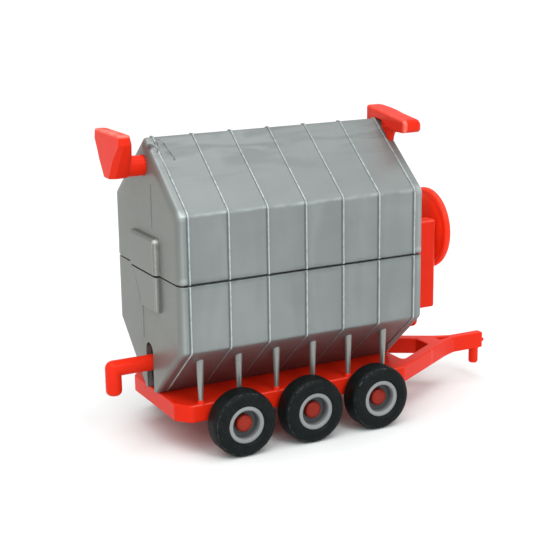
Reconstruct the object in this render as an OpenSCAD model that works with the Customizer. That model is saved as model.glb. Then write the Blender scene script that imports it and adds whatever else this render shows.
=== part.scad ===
// Toy portable grain dryer on a three-axle trailer chassis.
// Millimetres. +X points to the hitch, +Z is up, and z = 0 is the ground under the tyres.
// The origin is on the ground, below the middle of the whole object.
// The driving places below are measured from the middle of the body; on_frame() shifts them.

/* [Body] */
// Length of the body between its end walls
body_len = 58.24; // [56:0.1:60]
// Width of the body across its side walls
body_wid = 34.46; // [33:0.1:36]
// Height of the roof ridge above the ground
ridge_z = 65.95; // [64:0.1:68]
// Height of the eaves
eave_z = 52.34; // [50:0.1:54]
// Height of the seam between the upper and the lower half
seam_z = 38; // [37:0.1:39]
// Height where the side walls turn in towards the keel
break_z = 23.66; // [22:0.1:25]
// Width of the flat keel that stands on the deck
keel_wid = 6.34; // [5:0.1:8]
// Width of the flat along the ridge
ridge_flat = 0.9; // [0.9:0.1:2]
// Wall thickness of both halves
wall = 1.2; // [0.8:0.1:1.2]
// Radius of the body's upright corners
corner_r = 1.2; // [0.6:0.1:1.2]
// Open joint at the seam
seam_gap = 0.25; // [0.1:0.05:0.4]

/* [Ribs] */
// Number of ribs along the body
rib_count = 7; // [3:1:7]
// Distance from rib to rib
rib_pitch = 8.94; // [8:0.01:9]
// Thickness of a rib along the body
rib_wid = 0.42; // [0.3:0.01:0.6]
// How far a rib stands out of the wall
rib_out = 0.36; // [0.2:0.01:0.5]

/* [Rear wall] */
// Half width of the raised hatch
hatch_half = 7.1; // [6:0.1:7.5]
// Height of the hatch's top edge
hatch_top_z = 45.8; // [44:0.1:47]
// Height of the hatch's bottom edge
hatch_low_z = 30; // [29:0.1:31]
// How far the hatch stands out of the rear wall
hatch_out = 1.1; // [0.8:0.1:1.3]
// Height of the round top of the auger slot
slot_top_z = 21.9; // [21:0.1:22.2]

/* [Chassis] */
// Top of the deck above the ground
deck_top_z = 11.3; // [11.3:0.1:11.3]
// Thickness of the deck and the drawbar
deck_thick = 3.8; // [3.4:0.1:4]
// Half width of the deck
deck_half = 14.26; // [14:0.01:14.3]
// Rear edge of the deck
deck_rear_x = -28.54; // [-29:0.01:-28]
// Front edge of the deck, where the drawbar's opening starts
deck_front_x = 29.5; // [29.2:0.1:30]
// Front end of the drawbar's head
head_x = 58.2; // [57.5:0.1:59]
// Half width of the drawbar's head
head_half = 1.2; // [1.2:0.05:1.4]
// Place of the hitch peg along the drawbar
peg_x = 56.2; // [55:0.1:56.5]
// Radius of the hitch peg
peg_r = 1.15; // [1:0.05:1.15]
// Height of the peg's lower end
peg_low_z = 3.6; // [3:0.1:5]

/* [Posts] */
// Number of support posts on each side
post_count = 6; // [2:1:6]
// Distance of the posts from the middle plane
post_y = 13.43; // [13:0.01:13.5]
// Radius of a post where it meets the body
post_top_r = 0.84; // [0.7:0.01:0.9]
// Radius of a post where it meets the deck
post_low_r = 0.47; // [0.4:0.01:0.6]

/* [Wheels] */
// Radius of a tyre
tyre_r = 7.15; // [7:0.01:7.3]
// Width of a tyre
tyre_wid = 5.46; // [5.2:0.01:5.5]
// Outer face of the tyres from the middle plane
tyre_out_y = 20.3; // [20.2:0.05:20.4]
// Distance from axle to axle
axle_pitch = 16.51; // [16:0.01:17]
// Place of the middle axle
axle_mid_x = 0.56; // [0:0.01:1]
// Radius of the rim's barrel and of its bright ring
rim_r = 4.05; // [3.8:0.01:4.2]
// Radius of the rim's dish
dish_r = 3.05; // [2.9:0.01:3.1]
// Radius of the axle
axle_r = 1.2; // [1:0.01:1.3]
// Running clearance of each wheel on its axle
wheel_clear = 0.06; // [0.03:0.01:0.1]

/* [Augers] */
// Radius of the unloading auger's tube in the keel
unload_r = 1.75; // [1.6:0.01:1.85]
// Height of the unloading auger's axis
unload_z = 17.4; // [17.2:0.1:17.6]
// Place of the discharge spout's upright leg
spout_x = -37.6; // [-38:0.1:-37.2]
// Height of the spout's lower end
spout_low_z = 11.4; // [11:0.1:12]
// Front end of the unloading auger's tube
unload_front_x = 38.6; // [38:0.1:39.3]
// Radius of the filling auger's tube in the roof
fill_r = 2.15; // [2:0.01:2.2]
// Height of the filling auger's axis
fill_z = 60.35; // [60.2:0.05:60.5]
// Running clearance of both auger tubes in their bearings
auger_clear = 0.06; // [0.03:0.01:0.1]

/* [Fill hopper] */
// Rear face of the hopper at its foot
hopper_rear_x = -37.2; // [-37.5:0.1:-37]
// Front face of the hopper at its foot
hopper_front_x = -33; // [-33.4:0.1:-32.8]
// Half width of the hopper's rim
hopper_half = 7.3; // [7:0.1:7.5]
// Height of the hopper's rim
hopper_top_z = 67.8; // [67.5:0.1:68.2]

/* [Front fittings] */
// Radius of the fan's round shroud
fan_r = 9.45; // [9:0.05:9.6]
// Height of the fan's axis
fan_z = 39.3; // [39:0.1:40]
// Front face of the fan shroud
fan_front_x = 42.2; // [41.5:0.1:42.5]
// Radius of the duct between the body and the fan
duct_r = 3.0; // [2.6:0.1:3]
// Front face of the control cabinet
cabinet_front_x = 39.65; // [39:0.05:40]
// Near face of the control cabinet
cabinet_near_y = -7.0; // [-7.2:0.1:-6.8]
// Depth of the control cabinet across the body
cabinet_deep = 3.8; // [3.4:0.1:3.8]
// Top of the control cabinet
cabinet_top_z = 42.6; // [42:0.1:43]
// Bottom of the control cabinet
cabinet_low_z = 21.9; // [21.5:0.1:22.5]
// Place of the drive hood's peg along the body
hood_peg_x = 28.1; // [28:0.1:28.2]
// Place of the drive hood's peg across the body
hood_peg_y = -5.1; // [-5.3:0.1:-4.9]

/* [Hidden] */
$fn = 64;

silver = "#a4a7a6";
red = "#e8321e";
black = "#1c1c1e";
pale_grey = "#b9b9be";

half_len = body_len / 2;
half_wid = body_wid / 2;
keel_half = keel_wid / 2;
floor_z = deck_top_z;
roof_angle = atan2(ridge_z - eave_z, half_wid - ridge_flat / 2);
base_angle = atan2(break_z - floor_z, half_wid - keel_half);
deck_low_z = deck_top_z - deck_thick;
nub_len = 0.9;
middle_x = (head_x + nub_len + spout_x - unload_r) / 2;

// The outline of the upper half in Y and Z, moved inwards by t, from height z0 up
function upper_section(t, z0) = let(
    side = half_wid - t,
    eave = eave_z + t * tan(roof_angle) - t / cos(roof_angle),
    flat = ridge_flat / 2 - t * tan(roof_angle / 2))
    [[side, z0], [side, eave], [flat, ridge_z - t], [-flat, ridge_z - t], [-side, eave], [-side, z0]];

// The outline of the lower half, moved inwards by t, up to height z1 and down to height z0
function lower_section(t, z0, z1) = let(
    side = half_wid - t,
    turn = break_z - t * tan(base_angle) + t / cos(base_angle),
    foot = keel_half + (z0 - floor_z - t / cos(base_angle)) / tan(base_angle))
    [[foot, z0], [side, turn], [side, z1], [-side, z1], [-side, turn], [-foot, z0]];

// Half width of the lower half's inside at height z
function inside_half(z) = keel_half + (z - floor_z - wall / cos(base_angle)) / tan(base_angle);

function rib_x(i) = (i - (rib_count - 1) / 2) * rib_pitch;
function post_x(i) = (i - (post_count - 1) / 2) * rib_pitch - 1.04;
function axle_x(i) = axle_mid_x + (i - 1) * axle_pitch;

// Moves what is drawn in the body's own places into the object's frame
module on_frame() {
    translate([-middle_x, 0, 0]) children();
}

// Extrudes a drawing in Y and Z along X, from x0 to x1
module along_x(x0, x1) {
    translate([x0, 0, 0]) rotate([90, 0, 90]) linear_extrude(x1 - x0) children();
}

// Extrudes a drawing in X and Z along Y, from y0 to y1
module along_y(y0, y1) {
    translate([0, y1, 0]) rotate([90, 0, 0]) linear_extrude(y1 - y0) children();
}

// A round bar along X
module bar_x(x0, x1, y, z, r) {
    translate([x0, y, z]) rotate([0, 90, 0]) cylinder(h = x1 - x0, r = r);
}

// A round bar along Y
module bar_y(x, y0, y1, z, r) {
    translate([x, y1, z]) rotate([90, 0, 0]) cylinder(h = y1 - y0, r = r);
}

// A rectangle in X and Y, centred on the origin, with round corners
module rounded_rectangle(half_x, half_y, r) {
    square([2 * half_x, 2 * half_y - 2 * r], center = true);
    square([2 * half_x - 2 * r, 2 * half_y], center = true);
    for (x = [-1, 1], y = [-1, 1])
        translate([x * (half_x - r), y * (half_y - r)]) circle(r = r);
}

// ---- Body ----

// The outside of the body, as an upright block with round corners
module body_block() {
    translate([0, 0, floor_z - 1]) linear_extrude(ridge_z - floor_z + 2)
        rounded_rectangle(half_len, half_wid, corner_r);
}

module upper_ribs() {
    for (i = [0 : rib_count - 1])
        along_x(rib_x(i) - rib_wid / 2, rib_x(i) + rib_wid / 2)
            polygon(upper_section(-rib_out, seam_z + seam_gap / 2));
}

module lower_ribs() {
    for (i = [0 : rib_count - 1])
        along_x(rib_x(i) - rib_wid / 2, rib_x(i) + rib_wid / 2)
            polygon(lower_section(-rib_out, floor_z, seam_z - seam_gap / 2));
}

// Collars inside the end walls that carry the filling auger; the front one is blind
bearing_r = fill_r + 1.1;
bearing_len = 3.2;

module fill_bearings() {
    bar_x(-half_len + 0.4, -half_len + bearing_len, 0, fill_z, bearing_r);
    bar_x(half_len - bearing_len, half_len - 0.4, 0, fill_z, bearing_r);
}

// Boss under the roof that holds the drive hood's peg
hood_peg_r = 0.8;
hood_peg_low_z = 58.6;

module hood_boss() {
    intersection() {
        translate([hood_peg_x - 0.4, hood_peg_y, hood_peg_low_z - 1]) cylinder(h = 6, r = 1.9);
        along_x(0, half_len) polygon(upper_section(0.2, seam_z));
    }
}

module upper_body_shell() {
    hatch_bead_y = -3.6;
    color(silver) on_frame() difference() {
        union() {
            difference() {
                union() {
                    intersection() {
                        along_x(-half_len, half_len) polygon(upper_section(0, seam_z + seam_gap / 2));
                        body_block();
                    }
                    upper_ribs();
                }
                along_x(-half_len + wall, half_len - wall) polygon(upper_section(wall, seam_z - 1));
            }
            fill_bearings();
            hood_boss();
            // Raised upper part of the rear hatch
            along_x(-half_len - hatch_out, -half_len + 0.3) polygon([
                [-hatch_half, seam_z + seam_gap / 2], [hatch_half, seam_z + seam_gap / 2],
                [hatch_half, hatch_top_z], [-hatch_half, hatch_top_z]]);
            // Fine upright bead above the hatch
            along_x(-half_len - 0.2, -half_len + 0.3)
                translate([hatch_bead_y - 0.2, hatch_top_z + 2]) square([0.4, 9]);
        }
        // Bearing of the filling auger: through the rear wall, blind in the front wall
        bar_x(-half_len - 3, half_len - wall, 0, fill_z, fill_r + auger_clear);
        // Socket of the drive hood's peg
        translate([hood_peg_x, hood_peg_y, hood_peg_low_z]) cylinder(h = 9, r = hood_peg_r);
    }
}

// A tongue inside the seam that locates the upper half on the lower one
tongue_up = 1.2;
tongue_clear = 0.1;

module seam_tongue() {
    inner_t = wall + 0.8;
    difference() {
        union() {
            along_x(-half_len + wall - 0.3, half_len - wall + 0.3)
                square_between(half_wid - wall + 0.3, seam_z - 2.4, seam_z - seam_gap / 2);
            along_x(-half_len + wall + tongue_clear, half_len - wall - tongue_clear)
                square_between(half_wid - wall - tongue_clear, seam_z - 1, seam_z + tongue_up);
        }
        along_x(-half_len + inner_t, half_len - inner_t)
            square_between(half_wid - inner_t, seam_z - 3, seam_z + tongue_up + 1);
    }
}

// A rectangle from -half to half and from z0 to z1
module square_between(half, z0, z1) {
    translate([-half, z0]) square([2 * half, z1 - z0]);
}

// Cross walls in the keel that carry the unloading auger
cradle_x = 21;
cradle_top_z = 20.6;

module auger_cradles() {
    side = inside_half(cradle_top_z) + 0.5;
    foot = inside_half(floor_z + wall) + 0.5;
    for (x = [-cradle_x, cradle_x])
        along_x(x - 0.7, x + 0.7)
            polygon([[-foot, floor_z + wall - 0.3], [foot, floor_z + wall - 0.3],
                [side, cradle_top_z], [-side, cradle_top_z]]);
}

// Slot in an end wall: a round top, open down through the keel
module auger_slot(x0, x1) {
    slot_r = unload_r + 0.1;
    bar_x(x0, x1, 0, slot_top_z - slot_r, slot_r);
    translate([x0, -slot_r, floor_z - 1]) cube([x1 - x0, 2 * slot_r, slot_top_z - slot_r - floor_z + 1]);
}

module lower_body_shell() {
    bead_y = 3;
    color(silver) on_frame() difference() {
        union() {
            difference() {
                union() {
                    intersection() {
                        along_x(-half_len, half_len)
                            polygon(lower_section(0, floor_z, seam_z - seam_gap / 2));
                        body_block();
                    }
                    lower_ribs();
                }
                along_x(-half_len + wall, half_len - wall)
                    polygon(lower_section(wall, floor_z + wall, seam_z + 1));
            }
            seam_tongue();
            auger_cradles();
            // Lower part of the rear hatch, cut back on its far side
            along_x(-half_len - hatch_out + 0.15, -half_len + 0.3) polygon([
                [-hatch_half - 0.3, seam_z - seam_gap / 2], [-hatch_half - 0.3, hatch_low_z],
                [bead_y - 0.4, hatch_low_z], [bead_y, hatch_low_z + 2.2], [bead_y + 0.9, hatch_low_z + 4],
                [bead_y + 2.3, hatch_low_z + 6], [hatch_half, seam_z - seam_gap / 2]]);
            // Fine upright bead below the hatch
            along_x(-half_len - 0.2, -half_len + 0.3)
                translate([bead_y - 0.2, slot_top_z + 0.3]) square([0.4, hatch_low_z - slot_top_z - 1]);
        }
        auger_slot(-half_len - 3, -half_len + wall + 0.1);
        auger_slot(half_len - wall - 0.1, half_len + 3);
        bar_x(-half_len, half_len, 0, unload_z, unload_r + auger_clear);
    }
}

// ---- Support posts ----

// Height of a post's lower end, inside the deck's socket
post_low_z = deck_top_z - 1;

// The posts of one side: side is -1 near, 1 far
module support_posts(side) {
    difference() {
        for (i = [0 : post_count - 1])
            translate([post_x(i), side * post_y, post_low_z]) {
                cylinder(h = 1, r = post_low_r);
                translate([0, 0, 1]) cylinder(h = 11, r1 = post_low_r, r2 = post_top_r * 1.06);
            }
        along_x(-half_len, half_len) polygon(lower_section(0, floor_z, seam_z));
    }
}

module near_support_posts() {
    color(silver) on_frame() support_posts(-1);
}

module far_support_posts() {
    color(silver) on_frame() support_posts(1);
}

// ---- Chassis ----

// Points of an arc around centre c, from angle a0 to a1
function arc(c, r, a0, a1, steps) =
    [for (i = [0 : steps]) let(a = a0 + (a1 - a0) * i / steps) c + r * [cos(a), sin(a)]];

function mirrored(points) = [for (i = [len(points) - 1 : -1 : 0]) [points[i][0], -points[i][1]]];

// Where the drawbar's outer edges meet the straight head
neck_x = 49;
rear_corner = 2.4;
front_corner = 2.6;

// One side of the chassis outline seen from above, from the rear to the head
side_outline = concat(
    [[deck_rear_x, -deck_half + rear_corner + 0.4], [deck_rear_x + rear_corner, -deck_half]],
    arc([deck_front_x - 3.4, -deck_half + front_corner], front_corner, 270, 302, 5),
    [[neck_x - 3, -head_half - 1.75], [neck_x, -head_half - 0.35], [neck_x + 3, -head_half]],
    [[head_x - 0.5, -head_half], [head_x, -head_half + 0.5]]);

module drawbar_openings() {
    // The large opening, ahead of the deck
    polygon([[deck_front_x, -9.5], [deck_front_x, 9.5], [41.1, 2.5], [41.1, -2.5]]);
    // The small opening between the cross-piece and the head
    polygon([[45.5, -0.9], [45.5, 0.9], [48.6, 0.2], [48.6, -0.2]]);
}

// Clips under the deck that hold an axle, open downwards
clip_half = 2.1;
clip_low_z = 5.2;

module axle_clips() {
    for (i = [0 : 2], side = [-1, 1])
        translate([axle_x(i) - clip_half, side * 11 - 2.2, clip_low_z])
            cube([2 * clip_half, 4.4, deck_low_z - clip_low_z + 0.5]);
}

module post_sockets() {
    for (i = [0 : post_count - 1], side = [-1, 1])
        translate([post_x(i), side * post_y, deck_top_z - 0.1])
            cylinder(h = 0.8, r1 = 0.83, r2 = post_low_r + 0.2);
}

module chassis() {
    axle_bore_r = axle_r + 0.03;
    color(red) on_frame() difference() {
        union() {
            difference() {
                translate([0, 0, deck_low_z]) linear_extrude(deck_thick)
                    polygon(concat(side_outline, mirrored(side_outline)));
                translate([0, 0, deck_low_z - 1]) linear_extrude(deck_thick + 2) drawbar_openings();
            }
            axle_clips();
            post_sockets();
            // Hitch peg under the head
            translate([peg_x, 0, peg_low_z]) cylinder(h = deck_low_z - peg_low_z + 1, r = peg_r);
            // Small nub on the nose
            bar_x(head_x - 0.5, head_x + nub_len, 0, deck_low_z + 1.6, 0.5);
        }
        for (i = [0 : 2]) {
            bar_y(axle_x(i), -deck_half - 1, deck_half + 1, tyre_r, axle_bore_r);
            translate([axle_x(i) - axle_r * 0.8, -deck_half - 1, 0])
                cube([axle_r * 1.6, 2 * deck_half + 2, tyre_r]);
        }
        for (i = [0 : post_count - 1], side = [-1, 1])
            translate([post_x(i), side * post_y, post_low_z]) cylinder(h = 3, r = post_low_r + 0.02);
    }
}

// ---- Axles and wheels ----

// The wheel's web: its two faces, measured from the middle plane
web_out_y = tyre_out_y - 2.5;
web_in_y = tyre_out_y - 4.6;
// Face of the bright ring
ring_y = tyre_out_y - 0.28;
wheel_in_y = tyre_out_y - tyre_wid;
cap_r = 2.1;
cap_thick = 1.4;
side_play = 0.08;

// An axle with a round cap at each end and a collar inside each wheel
module axle(i) {
    cap_y = web_out_y + side_play;
    collar_y = web_in_y - side_play;
    bar_y(axle_x(i), -cap_y - cap_thick, cap_y + cap_thick, tyre_r, axle_r);
    for (side = [-1, 1]) {
        bar_y(axle_x(i), min(side * cap_y, side * (cap_y + cap_thick)),
            max(side * cap_y, side * (cap_y + cap_thick)), tyre_r, cap_r);
        bar_y(axle_x(i), min(side * (deck_half + 0.1), side * collar_y),
            max(side * (deck_half + 0.1), side * collar_y), tyre_r, axle_r + 0.6);
    }
}

module rear_axle() {
    color(red) on_frame() axle(0);
}

module middle_axle() {
    color(red) on_frame() axle(1);
}

module front_axle() {
    color(red) on_frame() axle(2);
}

// Places a wheel piece, drawn with its axis up and its outer face at the top
module wheel_place(i, side) {
    on_frame() translate([axle_x(i), side * tyre_out_y, tyre_r]) rotate([-90 * side, 0, 0])
        translate([0, 0, -tyre_wid]) children();
}

// A rim: a barrel with a deep outer dish, an inner recess and a bored web
module rim(i, side) {
    color(pale_grey) wheel_place(i, side) difference() {
        translate([0, 0, 0.3]) cylinder(h = ring_y - wheel_in_y - 0.3, r = rim_r);
        translate([0, 0, web_out_y - wheel_in_y]) cylinder(h = tyre_wid, r = dish_r);
        translate([0, 0, -1]) cylinder(h = web_in_y - wheel_in_y + 1, r = dish_r);
        translate([0, 0, -1]) cylinder(h = tyre_wid + 2, r = axle_r + wheel_clear);
    }
}

shoulder_r = 1.1;

// Section of a tyre, from the rim out; x is the radius and y the width
module tyre_section() {
    square_r = tyre_r - shoulder_r;
    translate([rim_r, 0.35]) square([square_r - rim_r, tyre_wid - 0.7]);
    translate([rim_r + 0.7, 0]) square([square_r - rim_r - 0.7, tyre_wid]);
    translate([square_r - 0.1, shoulder_r]) square([shoulder_r + 0.1, tyre_wid - 2 * shoulder_r]);
    translate([square_r, shoulder_r]) circle(r = shoulder_r);
    translate([square_r, tyre_wid - shoulder_r]) circle(r = shoulder_r);
}

module tyre(i, side) {
    color(black) wheel_place(i, side) rotate_extrude() tyre_section();
}

module rear_near_rim() {
    rim(0, -1);
}

module rear_far_rim() {
    rim(0, 1);
}

module middle_near_rim() {
    rim(1, -1);
}

module middle_far_rim() {
    rim(1, 1);
}

module front_near_rim() {
    rim(2, -1);
}

module front_far_rim() {
    rim(2, 1);
}

module rear_near_tyre() {
    tyre(0, -1);
}

module rear_far_tyre() {
    tyre(0, 1);
}

module middle_near_tyre() {
    tyre(1, -1);
}

module middle_far_tyre() {
    tyre(1, 1);
}

module front_near_tyre() {
    tyre(2, -1);
}

module front_far_tyre() {
    tyre(2, 1);
}

// ---- Unloading auger ----

// Where the spout's elbow ends and the tube starts, and the spigot that joins them
elbow_front_x = spout_x + 3.6;
spigot_len = 2;
unload_spigot_r = 1.2;

module unload_auger_tube() {
    color(red) on_frame() {
        bar_x(elbow_front_x, unload_front_x - 0.5, 0, unload_z, unload_r);
        bar_x(elbow_front_x - spigot_len, elbow_front_x + 0.1, 0, unload_z, unload_spigot_r);
        translate([unload_front_x - 0.5, 0, unload_z]) rotate([0, 90, 0])
            cylinder(h = 0.5, r1 = unload_r, r2 = unload_r - 0.5);
    }
}

module discharge_spout() {
    mouth_r = 1.15;
    mouth_deep = 1.5;
    lip_r = 0.5;
    color(red) on_frame() difference() {
        union() {
            bar_x(spout_x, elbow_front_x, 0, unload_z, unload_r);
            translate([spout_x, 0, unload_z]) sphere(r = unload_r);
            translate([spout_x, 0, spout_low_z + lip_r])
                cylinder(h = unload_z - spout_low_z - lip_r, r = unload_r);
            translate([spout_x, 0, spout_low_z]) cylinder(h = lip_r, r1 = unload_r - lip_r, r2 = unload_r);
        }
        bar_x(elbow_front_x - spigot_len, elbow_front_x + 1, 0, unload_z, unload_spigot_r);
        translate([spout_x, 0, spout_low_z - 1]) cylinder(h = 1 + mouth_deep, r = mouth_r);
    }
}

// ---- Filling auger ----

fill_spigot_r = 1.5;

module fill_auger_tube() {
    color(red) on_frame() {
        bar_x(hopper_front_x, half_len - wall - 0.2, 0, fill_z, fill_r);
        bar_x(hopper_front_x - spigot_len, hopper_front_x + 0.1, 0, fill_z, fill_spigot_r);
    }
}

// A flat, fan-shaped hopper: three extruded outlines cut against each other
module fill_hopper() {
    foot_z = fill_z - fill_r;
    rim_low_z = hopper_top_z - 2;
    foot_half = 1.93;
    rim_rear_x = hopper_rear_x + 0.5;
    rim_front_x = hopper_front_x - 1.1;
    mouth_deep = 0.5;
    color(red) on_frame() difference() {
        intersection() {
            along_x(hopper_rear_x, hopper_front_x) polygon([
                [-foot_half, foot_z], [foot_half, foot_z],
                [hopper_half, rim_low_z], [hopper_half, hopper_top_z],
                [-hopper_half, hopper_top_z], [-hopper_half, rim_low_z]]);
            along_y(-hopper_half, hopper_half) polygon([
                [hopper_rear_x, foot_z], [hopper_front_x, foot_z], [hopper_front_x, foot_z + 4.4],
                [rim_front_x, hopper_top_z], [rim_rear_x, hopper_top_z], [hopper_rear_x, foot_z + 3.7]]);
            translate([0, 0, foot_z]) linear_extrude(hopper_top_z - foot_z) polygon([
                [hopper_rear_x, -hopper_half], [rim_rear_x + 0.9, -hopper_half],
                [rim_front_x - 0.6, -hopper_half + 0.5], [rim_front_x, -hopper_half + 1.2],
                [hopper_front_x, -hopper_half + 1.9], [hopper_front_x, hopper_half - 1.9],
                [rim_front_x, hopper_half - 1.2], [rim_front_x - 0.6, hopper_half - 0.5],
                [rim_rear_x + 0.9, hopper_half], [hopper_rear_x, hopper_half]]);
        }
        // Shallow mouth in the rim
        translate([rim_rear_x + 0.45, -hopper_half + 1.6, hopper_top_z - mouth_deep])
            cube([rim_front_x - rim_rear_x - 0.9, 2 * hopper_half - 3.2, 3]);
        bar_x(hopper_front_x - spigot_len, hopper_front_x + 1, 0, fill_z, fill_spigot_r);
    }
}

// ---- Fan, cabinet and drive hood ----

fan_thick = 1.3;
fan_dome = 1.1;
fan_back_x = fan_front_x - fan_thick - fan_dome;

module fan_duct() {
    color(red) on_frame() bar_x(half_len, fan_back_x, 0, fan_z, duct_r);
}

// A round shroud with a shallow cone behind and a rim, a hub and fixed vanes on its front face
module fan_shroud() {
    vane_count = 8;
    recess = 0.6;
    floor_x = fan_front_x - recess;
    color(red) on_frame() {
        difference() {
            union() {
                bar_x(fan_front_x - fan_thick, fan_front_x, 0, fan_z, fan_r);
                translate([fan_back_x, 0, fan_z]) rotate([0, 90, 0])
                    cylinder(h = fan_dome, r1 = duct_r + 0.1, r2 = fan_r - 0.3);
            }
            bar_x(floor_x, fan_front_x + 1, 0, fan_z, fan_r - 1.1);
        }
        bar_x(floor_x - 0.2, fan_front_x, 0, fan_z, 2.2);
        for (i = [0 : vane_count - 1])
            translate([floor_x - 0.2, 0, fan_z]) rotate([i * 360 / vane_count, 0, 0])
                translate([0, -0.3, 2]) cube([recess, 0.6, fan_r - 2.8]);
    }
}

module control_cabinet() {
    color(red) on_frame() translate([half_len, cabinet_near_y, cabinet_low_z])
        cube([cabinet_front_x - half_len, cabinet_deep, cabinet_top_z - cabinet_low_z]);
}

// A hood over the top auger's drive: a long block that leans outwards, on a round peg
module drive_hood() {
    hood_rear_x = 27.1;
    hood_front_x = 32.1;
    far_y = 3.2;
    near_y = -12.6;
    far_top_z = 68.75;
    near_top_z = 66.67;
    near_low_z = 63.9;
    far_low_z = 66.4;
    corner_r = 1.3;
    web_half = 0.55;
    // The web stays clear of the roof slope by this much
    web_clear = 0.06;
    web_foot_z = ridge_z + (ridge_flat / 2 + hood_peg_y) * tan(roof_angle) + web_clear;
    color(red) on_frame() {
        intersection() {
            along_x(hood_rear_x, hood_front_x) polygon([
                [far_y, far_low_z], [far_y, far_top_z], [near_y, near_top_z], [near_y, near_low_z],
                [near_y + 4.4, near_low_z], [near_y + 7, near_low_z + 0.75],
                [near_y + 8.7, near_low_z + 1.8], [near_y + 10, far_low_z]]);
            translate([0, 0, near_low_z - 1]) linear_extrude(far_top_z - near_low_z + 2) polygon(concat(
                arc([hood_rear_x + corner_r, near_y + corner_r], corner_r, 180, 270, 6),
                arc([hood_front_x - corner_r, near_y + corner_r], corner_r, 270, 360, 6),
                arc([hood_front_x - corner_r, far_y - corner_r], corner_r, 0, 90, 6),
                arc([hood_rear_x + corner_r, far_y - corner_r], corner_r, 90, 180, 6)));
        }
        // Web that runs down the roof slope from the hood to its peg
        along_x(hood_peg_x - web_half, hood_peg_x + web_half) polygon([
            [-ridge_flat / 2, far_low_z + 0.3], [-ridge_flat / 2, ridge_z + web_clear],
            [hood_peg_y, web_foot_z], [hood_peg_y, near_low_z + 1.8]]);
        translate([hood_peg_x, hood_peg_y, hood_peg_low_z + 0.2])
            cylinder(h = near_low_z + 1.5 - hood_peg_low_z, r = hood_peg_r - 0.02);
    }
}

lower_body_shell();
upper_body_shell();
near_support_posts();
far_support_posts();
chassis();
rear_axle();
middle_axle();
front_axle();
rear_near_rim();
rear_far_rim();
middle_near_rim();
middle_far_rim();
front_near_rim();
front_far_rim();
rear_near_tyre();
rear_far_tyre();
middle_near_tyre();
middle_far_tyre();
front_near_tyre();
front_far_tyre();
unload_auger_tube();
discharge_spout();
fill_auger_tube();
fill_hopper();
fan_duct();
fan_shroud();
control_cabinet();
drive_hood();
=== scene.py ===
import math

import bmesh
import bpy
from mathutils import Matrix, Vector, noise
from mathutils.geometry import tessellate_polygon


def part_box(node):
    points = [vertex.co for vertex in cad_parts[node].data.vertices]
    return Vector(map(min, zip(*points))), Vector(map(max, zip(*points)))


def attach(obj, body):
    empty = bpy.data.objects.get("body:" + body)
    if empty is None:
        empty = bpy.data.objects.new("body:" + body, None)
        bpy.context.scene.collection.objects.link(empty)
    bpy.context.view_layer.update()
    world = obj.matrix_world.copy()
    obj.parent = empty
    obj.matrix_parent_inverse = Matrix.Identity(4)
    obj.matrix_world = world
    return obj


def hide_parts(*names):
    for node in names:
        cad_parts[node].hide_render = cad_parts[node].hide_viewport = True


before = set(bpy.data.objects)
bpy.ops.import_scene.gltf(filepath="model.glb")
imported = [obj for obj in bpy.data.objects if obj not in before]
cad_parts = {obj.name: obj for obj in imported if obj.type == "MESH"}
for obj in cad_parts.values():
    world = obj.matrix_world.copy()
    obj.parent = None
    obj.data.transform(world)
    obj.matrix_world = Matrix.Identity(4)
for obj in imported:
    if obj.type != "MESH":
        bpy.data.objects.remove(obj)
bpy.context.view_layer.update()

MM = 0.001
# Lengths are in millimetres; X is from the middle of the bin, and SHIFT brings it to the shared frame
NOSE = 59.1
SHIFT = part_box("chassis")[1].x / MM - NOSE

# The bin: half its size, the heights of its edges from the top down, and half the widths of ridge and keel
HALF_LEN = 29.12
HALF_WID = 17.23
RIDGE = 65.95
EAVE = 52.34
SEAM = 38.0
BREAK = 23.66
DECK = 11.3
RIDGE_FLAT = 0.44
KEEL = 3.17
WALL = 1.2
GAP = 0.46
# The slopes of the roof and of the tapered sides
ROOF = math.atan2(RIDGE - EAVE, HALF_WID - 0.45)
SLOPE = math.atan2(BREAK - DECK, HALF_WID - KEEL)
# The ends of the bin are rounded by this much along X and across the end wall
END_X = 1.1
END_IN = 2.2
FRONT_X = 0.7
FRONT_IN = 0.9
# Ribs along X, and a rib's outline: place beside its middle, height
RIB_PITCH = 8.94
RIBS = [(i - 3) * RIB_PITCH for i in range(7)]
RIB_SHAPE = [(-0.32, 0), (-0.21, 0.03), (-0.17, 0.20), (-0.11, 0.325), (0, 0.35),
             (0.11, 0.325), (0.17, 0.20), (0.21, 0.03), (0.32, 0)]

POSTS = [(i - 2.5) * RIB_PITCH - 1.04 for i in range(6)]
POST_Y = 13.43
AXLES = [0.56 + (i - 1) * 16.51 for i in range(3)]
AXLE_NAMES = ("rear", "middle", "front")
TYRE_R = 7.15
UNLOAD_Z = 17.4
FILL_Z = 60.35
PEG_Y = -5.1


# ---- mesh tools

def mesh(name, verts, faces):
    """A mesh from points in millimetres, with its faces turned outwards."""
    me = bpy.data.meshes.new(name)
    me.from_pydata([((x + SHIFT) * MM, y * MM, z * MM) for x, y, z in verts], [], faces)
    me.validate()
    bm = bmesh.new()
    bm.from_mesh(me)
    bmesh.ops.recalc_face_normals(bm, faces=bm.faces)
    bm.to_mesh(me)
    bm.free()
    return me


def add(name, data):
    """Puts an object into the scene."""
    ob = bpy.data.objects.new(name, data)
    bpy.context.scene.collection.objects.link(ob)
    return ob


def piece(name, shape, material, replaces=(), body="trailer", sharp=32, weighted=True, mark=None):
    """A visible piece from (points, faces); it rides on a body and may stand for CAD nodes.

    mark gives each point a value from 0 to 1 that the material reads as wear and painted highlight on a
    tyre's lip, and as depth for painted shade in a rim's dish.
    """
    me = mesh(name, *shape)
    if mark:
        value = me.attributes.new("mark", "FLOAT", "POINT")
        for v, entry in zip(me.vertices, value.data):
            entry.value = mark(v.co.x / MM - SHIFT, v.co.y / MM, v.co.z / MM)
    dress(name, me, material, replaces, body, sharp, weighted)


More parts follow.
